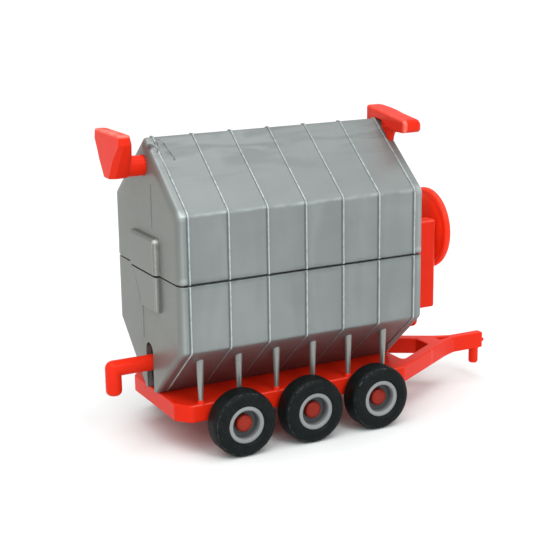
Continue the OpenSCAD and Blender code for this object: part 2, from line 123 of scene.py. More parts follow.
def dress(name, me, material, replaces, body, sharp, weighted=True):
    """Shows a mesh as a piece: shading, material, body, CAD nodes and material slot."""
    ob = add(name, me)
    for p in me.polygons:
        p.use_smooth = True
    me.set_sharp_from_angle(angle=math.radians(sharp))
    me.materials.clear()
    me.materials.append(material)
    if weighted:
        wn = ob.modifiers.new("normals", "WEIGHTED_NORMAL")
        wn.weight = 90
        wn.keep_sharp = True
    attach(ob, body)
    if replaces:
        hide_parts(*replaces)


def join_parts(parts):
    """Joins several (points, faces) into one."""
    verts, faces = [], []
    for v, f in parts:
        base = len(verts)
        verts += v
        faces += [tuple(i + base for i in q) for q in f]
    return verts, faces


def fillet(points, radii, n=6):
    """A closed polygon with its corners rounded to the given radii, by n steps each."""
    out = []
    count = len(points)
    for i in range(count):
        p = Vector(points[i])
        a = Vector(points[i - 1]) - p
        b = Vector(points[(i + 1) % count]) - p
        r = radii[i] if isinstance(radii, (list, tuple)) else radii
        la, lb = a.length, b.length
        a.normalize()
        b.normalize()
        half = math.acos(max(-1, min(1, a.dot(b)))) / 2
        if r <= 0 or half > math.radians(89.5):
            out.append((p.x, p.y))
            continue
        cut = min(r / math.tan(half), la * 0.49, lb * 0.49)
        r = cut * math.tan(half)
        centre = p + (a + b).normalized() * (r / math.sin(half))
        s = p + a * cut - centre
        e = p + b * cut - centre
        turn = s.angle_signed(e)
        for k in range(n + 1):
            t = -turn * k / n
            out.append((centre.x + s.x * math.cos(t) - s.y * math.sin(t),
                        centre.y + s.x * math.sin(t) + s.y * math.cos(t)))
    return out


def anticlockwise(points):
    area = sum(a[0] * b[1] - b[0] * a[1] for a, b in zip([points[-1], *points], points))
    return list(points) if area > 0 else list(points)[::-1]


def inset(points, d):
    """A closed anticlockwise polygon moved inwards by d."""
    out = []
    count = len(points)
    for i in range(count):
        p, q, r = Vector(points[i - 1]), Vector(points[i]), Vector(points[(i + 1) % count])
        a = (q - p).normalized()
        b = (r - q).normalized()
        na, nb = Vector((-a.y, a.x)), Vector((-b.y, b.x))
        m = na + nb
        m *= d / max(0.35, 1 + na.dot(nb))
        out.append((q.x + m.x, q.y + m.y))
    return out


PLACE = {"z": lambda u, v, w: (u, v, w), "y": lambda u, v, w: (u, w, v), "x": lambda u, v, w: (w, u, v)}


def quarter(n):
    """The angles of a quarter turn in n steps."""
    return [math.pi / 2 * k / n for k in range(n + 1)]


def slab(outline, w0, w1, r, holes=(), axis="z", n=3, low_r=None):
    """A plate with rounded edges: a polygon extruded from w0 to w1 along an axis."""
    low_r = r if low_r is None else low_r
    place = PLACE[axis]
    loops = [(anticlockwise(outline), 1)] + [(anticlockwise(hole), -1) for hole in holes]
    levels = [(low_r * (1 - math.sin(t)), w0 + low_r * (1 - math.cos(t))) for t in quarter(n)]
    levels += [(r * (1 - math.sin(t)), w1 - r * (1 - math.cos(t))) for t in quarter(n)[::-1]]
    verts, faces, ends = [], [], ([], [])
    for loop, sign in loops:
        rings = []
        for d, w in levels:
            ring = inset(loop, sign * d)
            rings.append(len(verts))
            verts += [place(u, v, w) for u, v in ring]
            if len(rings) == 1:
                ends[0].append((rings[0], ring))
        ends[1].append((rings[-1], ring))
        c = len(loop)
        for a, b in zip(rings, rings[1:]):
            faces += [(a + i, a + (i + 1) % c, b + (i + 1) % c, b + i) for i in range(c)]
    for end in ends:
        index = [base + i for base, ring in end for i in range(len(ring))]
        for tri in tessellate_polygon([[Vector((u, v, 0)) for u, v in ring] for base, ring in end]):
            faces.append(tuple(index[i] for i in tri))
    return verts, faces


def lathe(profile, centre, axis, segs=64, closed=False):
    """Turns a profile of (radius, place along the axis) points about an axis through the centre."""
    verts, faces, rows = [], [], []
    for r, a in profile:
        turns = [2 * math.pi * k / segs for k in range(segs)] if r > 1e-6 else [0]
        rows.append(list(range(len(verts), len(verts) + len(turns))))
        for c, s in [(r * math.cos(t), r * math.sin(t)) for t in turns]:
            p = {"x": (a, c, s), "y": (c, a, s), "z": (c, s, a)}[axis]
            verts.append(tuple(p[i] + centre[i] for i in range(3)))
    pairs = list(zip(rows, rows[1:]))
    if closed:
        pairs.append((rows[-1], rows[0]))
    for a, b in pairs:
        for k in range(segs):
            n = (k + 1) % segs
            if len(a) == 1 and len(b) == 1:
                continue
            if len(a) == 1:
                faces.append((a[0], b[n], b[k]))
            elif len(b) == 1:
                faces.append((a[k], a[n], b[0]))
            else:
                faces.append((a[k], a[n], b[n], b[k]))
    return verts, faces


def rod(r, a0, a1, centre, axis, segs):
    """A plain cylinder from a0 to a1 along an axis."""
    return lathe([(0, a0), (r, a0), (r, a1), (0, a1)], centre, axis, segs)


def arc(cx, cy, r, a0, a1, n=6):
    """Points on an arc from a0 to a1 degrees."""
    return [(cx + r * math.cos(math.radians(a0 + (a1 - a0) * k / n)),
             cy + r * math.sin(math.radians(a0 + (a1 - a0) * k / n))) for k in range(n + 1)]


def loft(rings):
    """Joins rings of equal length into a closed skin."""
    c = len(rings[0])
    faces = []
    for a in range(0, (len(rings) - 1) * c, c):
        faces += [(a + i, a + (i + 1) % c, a + c + (i + 1) % c, a + c + i) for i in range(c)]
    faces += [tuple(range(c)), tuple((len(rings) - 1) * c + i for i in range(c))]
    return [p for ring in rings for p in ring], faces


def prism_x(points, x0, x1):
    """A (y, z) polygon extruded along X, with sharp edges."""
    return loft([[(x, y, z) for y, z in points] for x in (x0, x1)])


def solid(name, shape):
    """A scratch object for cutting, not shown."""
    return add(name, mesh(name, *shape))


def cut(base, cutters, operation="DIFFERENCE"):
    """The mesh of base with the cutters taken away or added; the scratch objects are removed."""
    for c in cutters:
        mod = base.modifiers.new("cut", "BOOLEAN")
        mod.operation = operation
        mod.solver = "EXACT"
        mod.object = c
    dg = bpy.context.evaluated_depsgraph_get()
    me = bpy.data.meshes.new_from_object(base.evaluated_get(dg))
    for ob in [base, *cutters]:
        old = ob.data
        bpy.data.objects.remove(ob)
        bpy.data.meshes.remove(old)
    return me


# ---- materials

class Shader:
    """A small helper that builds a procedural material in the shared frame, in millimetres."""

    def __init__(self, name):
        self.m = bpy.data.materials.new(name)
        self.m.use_nodes = True
        self.bsdf = self.m.node_tree.nodes["Principled BSDF"]
        coord = self.node("TexCoord")
        scale = self.node("VectorMath")
        scale.operation = "SCALE"
        self.put(scale.inputs["Scale"], 1 / MM)
        self.put(scale.inputs[0], coord.outputs["Object"])
        self.mm = scale.outputs[0]
        self.normal = coord.outputs["Normal"]

    def put(self, socket, value):
        """Gives an input a value, or the output of another node."""
        if isinstance(value, bpy.types.NodeSocket):
            self.m.node_tree.links.new(value, socket)
        else:
            socket.default_value = (*value, 1) if socket.type == "RGBA" else value

    def node(self, kind, **inputs):
        n = self.m.node_tree.nodes.new("ShaderNode" + kind)
        for name, value in inputs.items():
            self.put(n.inputs[name.replace("_", " ")], value)
        return n

    def surface(self, **inputs):
        for name, value in inputs.items():
            self.put(self.bsdf.inputs[name.replace("_", " ")], value)

    def split(self, vector):
        return self.node("SeparateXYZ", Vector=vector).outputs[:]

    def place(self):
        """X from the middle of the bin, Y and Z."""
        x, y, z = self.split(self.mm)
        return self.math("SUBTRACT", x, SHIFT), y, z

    def stretch(self, *scale):
        return self.node("Mapping", Scale=scale, Vector=self.mm).outputs["Vector"]

    def noise(self, scale, detail=3, rough=0.5, vector=None, distortion=0):
        return self.node("TexNoise", Scale=scale, Detail=detail, Roughness=rough, Distortion=distortion,
                         Vector=vector or self.mm).outputs["Fac"]

    def span(self, value, lo, hi, out_lo=0, out_hi=1):
        """The value's range from lo to hi spread over out_lo to out_hi, and held beyond."""
        return self.node("MapRange", Value=value, From_Min=lo, From_Max=hi, To_Min=out_lo,
                         To_Max=out_hi).outputs["Result"]

    def near(self, value, centre, core, edge):
        """1 where the value is within core of the centre, falling to 0 at edge."""
        return self.span(self.math("ABSOLUTE", self.math("SUBTRACT", value, centre)), core, edge, 1, 0)

    def math(self, op, *values):
        n = self.node("Math")
        n.operation = op
        for socket, value in zip(n.inputs, values):
            self.put(socket, value)
        return n.outputs[0]

    def product(self, first, *others):
        for value in others:
            first = self.math("MULTIPLY", first, value)
        return first

    def mix(self, fac, a, b):
        n = self.node("Mix")
        n.data_type = "RGBA"
        self.put(n.inputs["Factor"], fac)
        colours = [socket for socket in n.inputs if socket.type == "RGBA"]
        for socket, value in zip(colours, (a, b)):
            self.put(socket, value)
        return next(socket for socket in n.outputs if socket.type == "RGBA")

    def mark(self):
        n = self.node("Attribute")
        n.attribute_name = "mark"
        return n.outputs["Fac"]

    def bump(self, height, strength, distance, **below):
        """A bump of the given depth in millimetres; below is Normal=, the bump it lies on."""
        return self.node("Bump", Strength=strength, Distance=distance * MM, Height=height,
                         **below).outputs["Normal"]


def toned(colour, f):
    """A colour made lighter or darker by a factor."""
    return tuple(min(1, c * f) for c in colour)


def plastic(name, dark, light, flow, rough, orange, scuff, spec=0.5, metallic=0.0, fleck=0.0, marks=None,
            glow=0.0):
    """Moulded plastic: flow marks in the colour, a fine skin, faint scuffs and uneven gloss.

    flow stretches the marks along each axis; orange is the strength of the orange-peel skin; marks adds the
    wear, painted highlights and painted shade of one part; glow lets light through a thin part.
    """
    s = Shader(name)
    wide = s.noise(0.06, 4, 0.55, s.stretch(*flow), 0.6)
    fine = s.noise(1.4, 3, 0.6)
    pale = tuple(min(1, c * 1.35 + 0.01) for c in light)
    colour = s.mix(s.span(wide, 0.3, 0.7), dark, light)
    if fleck:
        dots = s.noise(5.0, 2, 0.7)
        colour = s.mix(s.span(dots, 0.60, 0.78, 0, fleck), colour, pale)
    streak = s.noise(0.5, 5, 0.7, s.stretch(flow[0] * 2.2, flow[1] * 2.2, flow[2] * 2.2), 1.2)
    colour = s.mix(s.span(streak, 0.60, 0.76, 0, scuff), colour, pale)
    if marks:
        colour = marks(s, colour, dark, light)
    gloss = s.span(wide, 0.25, 0.75, rough - 0.05, rough + 0.05)
    gloss = s.math("ADD", gloss, s.span(fine, 0.3, 0.7, -0.03, 0.04))
    gloss = s.math("ADD", gloss, s.span(streak, 0.6, 0.75, 0, 0.10))
    waves = s.bump(s.noise(0.22, 3, 0.5), 0.35, 0.05)
    s.surface(Base_Color=colour, Roughness=gloss, Specular_IOR_Level=spec, Metallic=metallic, IOR=1.5,
              Normal=s.bump(fine, orange, 0.02, Normal=waves))
    if glow:
        s.surface(Subsurface_Weight=glow, Subsurface_Radius=(1.0, 0.12, 0.05), Subsurface_Scale=1.2 * MM)
    return s.m


def body_marks(s, colour, dark, light):
    """The bin's marks: streaks, smudges, painted highlights on edges, painted shade at the seam, on the rear
    wall and underneath, and ribs with a painted shadow and a pale crest, partly rubbed and partly painted
    highlight.
    """
    x, y, z = s.place()
    ax, ay = s.math("ABSOLUTE", x), s.math("ABSOLUTE", y)
    on_roof = s.span(z, EAVE - 0.4, EAVE + 0.6)
    off_roof = s.math("SUBTRACT", 1, on_roof)

    # Upright flow marks on the walls, level smudges towards the ridge
    upright = s.noise(0.16, 2, 0.5, s.stretch(1.0, 1.0, 0.30), 0.4)
    colour = s.mix(s.product(s.span(upright, 0.50, 0.70, 0, 0.40), off_roof), colour, toned(light, 1.20))
    colour = s.mix(s.product(s.span(upright, 0.50, 0.30, 0, 0.35), off_roof), colour, toned(dark, 0.84))
    level = s.noise(0.34, 3, 0.50, s.stretch(0.22, 1.0, 1.0), 0.7)
    smudge = s.product(s.span(level, 0.48, 0.66, 0, 0.50), s.span(z, 56, 63))
    colour = s.mix(smudge, colour, toned(dark, 0.66))

    # Painted highlights on the eaves, the upright corners and the tips between them
    uneven = s.noise(0.26, 2, 0.5)
    line = s.math("ADD", z, s.span(uneven, 0.3, 0.7, -0.12, 0.12))
    eave = s.product(s.near(line, EAVE - 0.1, 0.10, 0.55), s.span(ay, 16.0, 16.6))
    colour = s.mix(s.product(eave, s.span(uneven, 0.38, 0.62, 0.10, 0.6)), colour, toned(light, 1.6))
    corner = s.math("MAXIMUM",
                    s.product(s.near(ay, 15.5, 0.2, 0.8), s.span(ax, HALF_LEN - 0.3, HALF_LEN - 0.1)),
                    s.product(s.near(ax, HALF_LEN - 0.95, 0.1, 0.5), s.span(ay, 16.6, 17.0)))
    colour = s.mix(s.product(corner, s.span(upright, 0.3, 0.7, 0.2, 0.5)), colour, toned(light, 1.4))
    tip_highlight = s.math("MAXIMUM", s.near(z, EAVE, 0.3, 1.2), s.near(z, SEAM + 0.9, 0.2, 0.9))
    tip_highlight = s.product(s.span(ax, 26.9, 28.0), s.span(ay, 15.2, 16.2), tip_highlight)
    colour = s.mix(s.product(tip_highlight, 0.7), colour, toned(light, 1.8))

    # Painted shade along the seam, on the rear wall with a warm painted reflection, and on the tapered sides
    # facing down with a red painted reflection of the deck
    seam_shade = s.product(s.near(z, SEAM, 0.45, 1.3), s.span(uneven, 0.35, 0.65, 0.1, 0.5))
    colour = s.mix(s.product(seam_shade, s.span(ay, 16.8, 17.1)), colour, toned(dark, 0.5))
    # The rear wall is painted darker and warmer: painted shade with a warm painted reflection
    rear_wall_shade = s.span(x, -HALF_LEN + 0.8, -HALF_LEN + 0.2)
    colour = s.mix(s.product(rear_wall_shade, 0.9), colour, (0.160, 0.166, 0.152))
    # The tapered sides facing down are painted dark red: painted shade with a red painted reflection of the
    # deck
    facing = s.split(s.normal)[2]
    low = s.product(s.span(z, BREAK + 0.9, BREAK - 1.6), s.span(facing, -0.15, -0.6))
    colour = s.mix(s.product(low, 0.85), colour, (0.135, 0.082, 0.080))

    # Ribs: a painted shadow line at the foot, and a pale crest, partly rubbed and partly painted highlight,
    # that fades on the shaded tapered sides
    beside = s.math("WRAP", x, RIB_PITCH / 2, -RIB_PITCH / 2)
    away = s.math("ABSOLUTE", beside)
    # The foot mask is a painted shadow line beside each rib
    foot = s.product(s.span(beside, -0.62, -0.34), s.span(beside, -0.24, -0.14, 1, 0))
    rib_side_shade = s.product(s.span(away, 0.16, 0.22), s.span(away, 0.26, 0.40, 0.3, 0))
    foot = s.math("MAXIMUM", s.product(foot, off_roof, 0.9), s.product(rib_side_shade, on_roof))
    colour = s.mix(foot, colour, toned(dark, 0.58))
    wear_and_sheen = s.span(s.noise(0.8, 3, 0.6), 0.30, 0.60, 0.45, 1)
    broken = s.product(s.span(s.noise(0.9, 4, 0.75), 0.40, 0.58, 0.35, 1), s.span(z, 54, 63, 1, 0.6))
    wear_and_sheen = s.math("ADD", s.product(wear_and_sheen, off_roof), s.product(broken, on_roof))
    rearmost = s.span(x, RIBS[0] + 0.5, RIBS[0] + 0.3, 0, 0.6)
    clear = s.math("MINIMUM", s.math("ADD", s.span(low, 0, 1, 1, 0.12), rearmost), 1)
    return s.mix(s.product(s.span(away, 0.13, 0.21, 1, 0), wear_and_sheen, clear), colour, toned(light, 2.1))


def hatch_painted_light(s, colour, dark, light):
    """Painted highlight lines along the near edge, a painted highlight at the top near corner, and a painted
    shade line along the curved far edge.
    """
    _, y, z = s.place()
    wear_and_sheen = s.span(s.noise(0.7, 3, 0.6), 0.3, 0.6, 0.4, 0.9)
    edge_highlights = s.math("MAXIMUM", s.near(y, -7.0, 0.08, 0.30), s.product(s.near(y, -6.1, 0.05, 0.22), 0.5))
    colour = s.mix(s.product(edge_highlights, wear_and_sheen), colour, toned(light, 1.9))
    # A painted highlight at the top near corner
    tip_highlight = s.product(s.near(y, -6.6, 0.2, 0.7), s.near(z, 45.4, 0.15, 0.6))
    colour = s.mix(tip_highlight, colour, toned(light, 2.7))
    # The far edge of the lower half bends outwards as it rises
    rise = s.math("POWER", s.span(z, 30.0, 37.8), 1.8)
    edge = s.math("ADD", s.product(rise, 4.5), 2.6)
    # A painted shade line just inside the far edge
    crease_shade = s.near(s.math("SUBTRACT", edge, y), 0.75, 0.12, 0.55)
    return s.mix(s.product(crease_shade, s.span(z, SEAM - 0.1, SEAM, 1, 0), 0.75), colour, toned(dark, 0.3))


def dish_painted_shade(s, colour, dark, light):
    """Painted shade, darker towards the bottom of the dish."""
    return s.mix(s.span(s.mark(), 0, 0.7, 0, 0.85), colour, toned(dark, 0.30))


def red_wear_and_highlights(s, colour, dark, light):
    """Pale edges on the hopper's rim, the drive hood, the cabinet and the deck: painted highlights, partly
    rubbed.
    """
    x, y, z = s.place()
    marks = s.product(s.span(z, 67.2, 67.6, 0, 0.75), s.span(x, -30, -31))
    for edge in (
            s.product(s.near(x, 27.5, 0.2, 0.55), s.near(y, -12.2, 0.3, 0.8), s.span(z, 63, 63.5, 0, 0.9)),
            s.product(s.near(x, 27.35, 0.1, 0.4), s.span(z, 66.1, 66.5, 0, 0.30)),
            s.product(s.near(z, 42.35, 0.1, 0.35), s.span(x, 29.3, 29.5, 0, 0.4)),
            s.product(s.near(x, 39.4, 0.08, 0.3), s.near(y, -6.8, 0.1, 0.4), 0.5),
            s.product(s.near(z, DECK - 0.12, 0.03, 0.25), s.span(y, -13.9, -14.1, 0, 0.3))):
        marks = s.math("MAXIMUM", marks, edge)
    uneven = s.span(s.noise(0.5, 3, 0.6), 0.3, 0.65, 0.35, 1)
    # The pale pink is painted highlight, partly rubbing
    return s.mix(s.product(marks, uneven), colour, (0.90, 0.22, 0.17))


silver = plastic("silver_plastic", (0.182, 0.200, 0.197), (0.214, 0.232, 0.229), (0.35, 1.0, 1.2),
                 0.40, 0.30, 0.30, spec=0.4, metallic=0.35, fleck=0.2)
silver_ribbed = plastic("silver_ribbed", (0.178, 0.197, 0.195), (0.216, 0.236, 0.234), (0.35, 1.0, 1.2),
                        0.38, 0.30, 0.25, spec=0.4, metallic=0.35, fleck=0.2, marks=body_marks)
# A darker, warmer copy of the silver: painted shade for the hatch on the rear wall
hatch_silver_shaded = plastic("hatch_silver_shaded", (0.150, 0.157, 0.146), (0.176, 0.182, 0.170), (1.0, 1.0, 0.35),
                       0.38, 0.30, 0.25, spec=0.4, metallic=0.35, fleck=0.2, marks=hatch_painted_light)
blemish = plastic("blemish_silver", (0.075, 0.080, 0.081), (0.185, 0.192, 0.193), (9.0, 9.0, 9.0),
                  0.36, 0.30, 0.50, spec=0.5, metallic=0.35, fleck=0.6)
post_silver = plastic("post_silver", (0.24, 0.245, 0.235), (0.28, 0.285, 0.27), (1.0, 1.0, 0.3),
                      0.32, 0.15, 0.10, spec=0.5, metallic=0.6)
red = plastic("red_plastic", (0.62, 0.016, 0.004), (0.72, 0.023, 0.006), (0.5, 1.0, 1.0), 0.32, 0.22, 0.10,
              spec=0.10, marks=red_wear_and_highlights)
# A brighter copy of the red: its raised base colour is painted glow of light through the thin shroud
fan_red_painted_glow = plastic("fan_red_painted_glow", (0.84, 0.028, 0.006), (0.92, 0.038, 0.009), (0.5, 1.0, 1.0), 0.34, 0.22, 0.10,
                  spec=0.2, glow=0.9)
# A darker copy of the red: painted shade for the caps sunk in the wheels' dishes
cap_red_shaded = plastic("cap_red_shaded", (0.20, 0.011, 0.005), (0.29, 0.020, 0.008), (3.0, 3.0, 3.0), 0.42, 0.3, 0.3,
                  spec=0.2)
rim_grey = plastic("rim_grey", (0.195, 0.20, 0.208), (0.25, 0.255, 0.263), (1.0, 1.0, 1.0), 0.42, 0.25, 0.2,
                   spec=0.35, fleck=0.15, marks=dish_painted_shade)


def rubber():
    """Satin black rubber with dust, specks and a pale lip, partly rubbed and partly painted highlight."""
    s = Shader("tyre_rubber")
    wide = s.noise(0.35, 4, 0.6)
    fine = s.noise(4.0, 4, 0.65)
    dust = s.noise(0.9, 6, 0.75, None, 0.8)
    colour = s.mix(s.span(wide, 0.3, 0.7), (0.0028, 0.0042, 0.0042), (0.0062, 0.0082, 0.0082))
    colour = s.mix(s.span(dust, 0.58, 0.78, 0, 0.30), colour, (0.030, 0.033, 0.033))
    specks = s.span(s.noise(2.6, 3, 0.7), 0.60, 0.72, 0, 0.5)
    colour = s.mix(specks, colour, (0.05, 0.055, 0.055))
    # The pale lip ring: partly rubbed, partly painted highlight
    lip = s.product(s.mark(), s.span(s.noise(0.8, 4, 0.75), 0.44, 0.66))
    colour = s.mix(lip, colour, (0.08, 0.085, 0.085))
    rough = s.math("ADD", s.span(wide, 0.3, 0.7, 0.44, 0.56), s.span(dust, 0.5, 0.75, 0, 0.2))
    waves = s.bump(s.noise(0.6, 2, 0.5), 0.3, 0.06)
    s.surface(Base_Color=colour, Roughness=rough, Specular_IOR_Level=0.12,
              Normal=s.bump(fine, 0.3, 0.03, Normal=waves))
    return s.m


tyre_black = rubber()


# ---- body

def open_section(corners, radii, counts, n=6):
    """Points along an open line with rounded corners: (y, z, outward normal y, outward normal z).

    counts gives the number of steps along each straight part, n along each corner.
    """
    out = []

    def note(p, nrm):
        out.append((p.x, p.y, nrm.x, nrm.y))

    last = len(corners) - 1
    prev = Vector(corners[0])
    for i in range(1, len(corners)):
        q = Vector(corners[i])
        d = (q - prev).normalized()
        nrm = Vector((-d.y, d.x))
        if i == last:
            stop = q
        else:
            nxt = Vector(corners[i + 1])
            a = (prev - q).normalized()
            b = (nxt - q).normalized()
            half = math.acos(max(-1, min(1, a.dot(b)))) / 2
            back = radii[i] / math.tan(half)
            stop = q + a * back
        steps = counts[i - 1]
        for k in range(1 if out else 0, steps + 1):
            note(prev + (stop - prev) * (k / steps), nrm)
        if i == last:
            break
        centre = q + (a + b).normalized() * (radii[i] / math.sin(half))
        end = q + b * back
        d2 = (nxt - q).normalized()
        n2 = Vector((-d2.y, d2.x))
        swing = nrm.angle_signed(n2)
        for k in range(1, n + 1):
            t = -swing * k / n
            nn = Vector((nrm.x * math.cos(t) - nrm.y * math.sin(t),
                         nrm.x * math.sin(t) + nrm.y * math.cos(t)))
            away = 1 if (stop - centre).dot(nrm) > 0 else -1
            note(centre + nn * radii[i] * away, nn)
        prev = end
    return out


def stations():
    """Places along X with the height of the rib and the inset of the rounded end there."""
    rear = [(-HALF_LEN + END_X * (1 - math.sin(t)), 0.0, END_IN * (1 - math.cos(t))) for t in quarter(7)]
    front = [(HALF_LEN - FRONT_X * (1 - math.sin(t)), 0.0, FRONT_IN * (1 - math.cos(t))) for t in quarter(7)]
    out = rear[::-1]
    for i, x in enumerate(RIBS):
        if i:
            out += [(RIBS[i - 1] + RIB_PITCH * k / 4, 0.0, 0.0) for k in (1, 2, 3)]
        out += [(x + dx, h, 0.0) for dx, h in RIB_SHAPE]
    return out + front


def rib_fade(x, y, z):
    """How tall a rib is here: uneven towards the ridge, and nearly gone at the rearmost rib's blemish."""
    if z < EAVE + 1:
        return 1.0
    uneven = 0.5 + noise.noise(Vector((x * 0.7, y * 0.8, 3.1)))
    full = 1.0 - 0.3 * min(1.0, max(0.0, (z - 57) / 6)) * uneven
    if x < RIBS[0] + 1 and y < -0.9:
        full *= min(1.0, max(0.15, (-y - 4.8) / 2.0))
    return full


def shell(section_at, rib_weight, flare=lambda z: 0.0):
    """Sweeps an open section along X, with ribs.

    section_at gives the section at an inset, for the rounded ends; rib_weight gives the share of a rib's
    height at a place; flare pushes the skin outwards.
    """
    verts, faces = [], []
    places = stations()
    for x, rib, inwards in places:
        section = section_at(inwards)
        for y, z, ny, nz in section:
            w = rib_weight(z, nz)
            wave = 0.02 * noise.noise(Vector((x * 0.11, y * 0.13, z * 0.12))) if w else 0.0
            lift = rib * w * rib_fade(x, y, z) + wave + flare(z)
            if abs(z - SEAM) < 0.4:  # the edges at the seam are ragged
                z += 0.09 * noise.noise(Vector((x * 0.45, y * 0.3, 5.0)))
            at = x
            if z > RIDGE - 1.2:  # each rib widens to a knob on the ridge
                middle = min(RIBS, key=lambda rib_x: abs(rib_x - x))
                if abs(x - middle) < 0.4:
                    at = middle + (x - middle) * (1 + 0.9 * math.exp(-(y / 0.7) ** 2))
            verts.append((at, y + ny * lift, z + nz * lift))
    c = len(section)
    for j in range(len(places) - 1):
        a, b = j * c, (j + 1) * c
        faces += [(a + i, a + i + 1, b + i + 1, b + i) for i in range(c - 1)]
        faces.append((a + c - 1, a, b, b + c - 1))
    faces.append(tuple(range(c)))
    faces.append(tuple((len(places) - 1) * c + i for i in range(c)))
    return verts, faces


def upper_shell():
    """The upper half of the bin, hollow and open below, with the auger's bore and the drive's socket."""
    z0 = SEAM + GAP / 2
    lip = HALF_WID - 0.9

    def section_at(d):
        side = HALF_WID - d
        eave = EAVE + d * math.tan(ROOF) - d / math.cos(ROOF)
        flat = max(0.02, RIDGE_FLAT - d * math.tan(ROOF / 2))
        ridge = eave + (side - flat) * math.tan(ROOF)
        inner = min(lip, side - 0.4)
        half = [(inner, z0), (side, z0), (side, eave), (flat, ridge)]
        line = [(-y, z) for y, z in half] + half[::-1]
        radii = [0, 0.36, max(0.1, 1.3 - d), max(0.01, min(1.0, flat * 2) - d)]
        return open_section(line, radii + radii[::-1], [1, 6, 9, 1, 9, 6, 1])

    def rib_weight(z, nz):
        return 0 if nz < -0.5 else 1

    def flare(z):
        return 0.12 * max(0.0, 1 - (z - z0) / 1.1)

    base = solid("upper", shell(section_at, rib_weight, flare))
    side = HALF_WID - WALL
    eave = EAVE + WALL * math.tan(ROOF) - WALL / math.cos(ROOF)
    hollow = solid("upper_hollow", prism_x([(side, z0 - 1), (side, eave), (0.1, RIDGE - WALL),
                                            (-0.1, RIDGE - WALL), (-side, eave), (-side, z0 - 1)],
                                           -HALF_LEN + WALL, HALF_LEN - WALL))
    bore = solid("bore", rod(2.21, -HALF_LEN - 3, -HALF_LEN + 3, (0, 0, FILL_Z), "x", 48))
    socket = solid("socket", rod(0.8, 58.6, 70, (28.1, PEG_Y, 0), "z", 32))
    me = cut(base, [hollow, bore, socket])
    dress("bin_upper_half", me, silver_ribbed, ["upper_body_shell"], "trailer", 28)


def keel_slot(name, x0, x1):
    """The round-topped slot that the unloading auger passes through."""
    r, top = 1.85, 21.9
    outline = [(-r, DECK - 2), (r, DECK - 2)] + arc(0, top - r, r, 0, 180, 16)
    return solid(name, prism_x(outline, x0, x1))


def lower_shell():
    """The lower half of the bin, hollow and open above, with the auger's slots in the keel."""
    z1 = SEAM - GAP / 2
    lip = HALF_WID - 0.9

    def section_at(d):
        side = HALF_WID - d
        half = [(min(lip, side - 0.4), z1), (side, z1), (side, BREAK + 0.2 * d), (KEEL - 0.3 * d, DECK)]
        line = half + [(-y, z) for y, z in half[::-1]]
        radii = [0, 0.28, max(0.3, 1.2 - 0.4 * d), 0.25]
        return open_section(line, radii + radii[::-1], [1, 6, 8, 2, 8, 6, 1])

    def rib_weight(z, nz):
        if nz > 0.5 or z < DECK + 0.35:
            return 0
        return 1 if z > BREAK - 0.2 else 0.55

    base = solid("lower", shell(section_at, rib_weight))
    side = HALF_WID - WALL
    turn = BREAK - WALL * math.tan(SLOPE) + WALL / math.cos(SLOPE)
    foot = KEEL + (WALL - WALL / math.cos(SLOPE)) / math.tan(SLOPE)
    hollow = solid("lower_hollow", prism_x([(foot, DECK + WALL), (side, turn), (side, z1 + 1),
                                            (-side, z1 + 1), (-side, turn), (-foot, DECK + WALL)],
                                           -HALF_LEN + WALL, HALF_LEN - WALL))
    me = cut(base, [hollow, keel_slot("rear_slot", -HALF_LEN - 3, -HALF_LEN + 2.5),
                    keel_slot("front_slot", HALF_LEN - 2.5, HALF_LEN + 3)])
    dress("bin_lower_half", me, silver_ribbed, ["lower_body_shell"], "trailer", 28)


def seam_tongue():
    """The lip that stands inside the seam and keeps light out of it."""
    def frame_line(d, r):
        x, y = HALF_LEN - d, HALF_WID - d
        return fillet([(-x, -y), (x, -y), (x, y), (-x, y)], r)

    tongue = slab(frame_line(1.3, 0.8), SEAM - 2.2, SEAM + 1.2, 0.12, [frame_line(2, 0.5)], "z", 2)
    piece("seam_tongue", tongue, silver)


def hatch_plate(outline, edge_z, x_out, r):
    """A pillow-edged plate on the rear wall whose edge at the seam stays square."""
    levels = [(0, -HALF_LEN + 0.4)]
    levels += [(r * (1 - math.cos(t)), x_out + r * 0.8 * (1 - math.sin(t))) for t in quarter(6)]
    rings = []
    for d, x in levels:
        ring = inset(outline, d) if d else outline
        rings.append([(x, y, edge_z if abs(whole - edge_z) < 0.01 else z)
                      for (y, z), (_, whole) in zip(ring, outline)])
    return loft(rings)


def edge_plate(outline, x_in, x_out, r, n=3):
    """A plate on an end wall: sharp where it is sunk into the wall, rounded on its outer face."""
    loop = anticlockwise(outline)
    sign = 1 if x_out > x_in else -1
    levels = [(0.0, x_in)]
    levels += [(r * (1 - math.cos(t)), x_out - sign * r * (1 - math.sin(t))) for t in quarter(n)]
    return loft([[(x, u, v) for u, v in (inset(loop, d) if d else loop)] for d, x in levels])


def hatch():
    """The raised hatch on the rear wall, one part on each half of the bin, and two thin upright beads."""
    z0, z1 = SEAM + GAP / 2, SEAM - GAP / 2
    top = fillet([(-7.1, z0), (7.1, z0), (7.1, 45.8), (-7.1, 45.8)], [0, 0, 1.1, 1.1])
    piece("hatch_top", hatch_plate(top, z0, -HALF_LEN - 1.1, 0.8), hatch_silver_shaded)
    low = fillet([(-7.4, 30.0), (2.6, 30.0), (3.0, 32.2), (3.9, 34.0), (5.3, 36.0), (7.1, z1), (-7.4, z1)],
                 [1.0, 0.8, 2.5, 3.0, 3.0, 0, 0])
    piece("hatch_low", hatch_plate(low, z1, -HALF_LEN - 0.95, 0.7), hatch_silver_shaded)
    beads = []
    for y, za, zb in ((-3.6, 47.8, 56.8), (3.0, 22.3, 30.2)):
        outline = fillet([(y - 0.2, za), (y + 0.2, za), (y + 0.2, zb), (y - 0.2, zb)], 0.19, 3)
        beads.append(edge_plate(outline, -HALF_LEN + 0.3, -HALF_LEN - 0.14, 0.14))
    piece("rear_beads", join_parts(beads), silver)


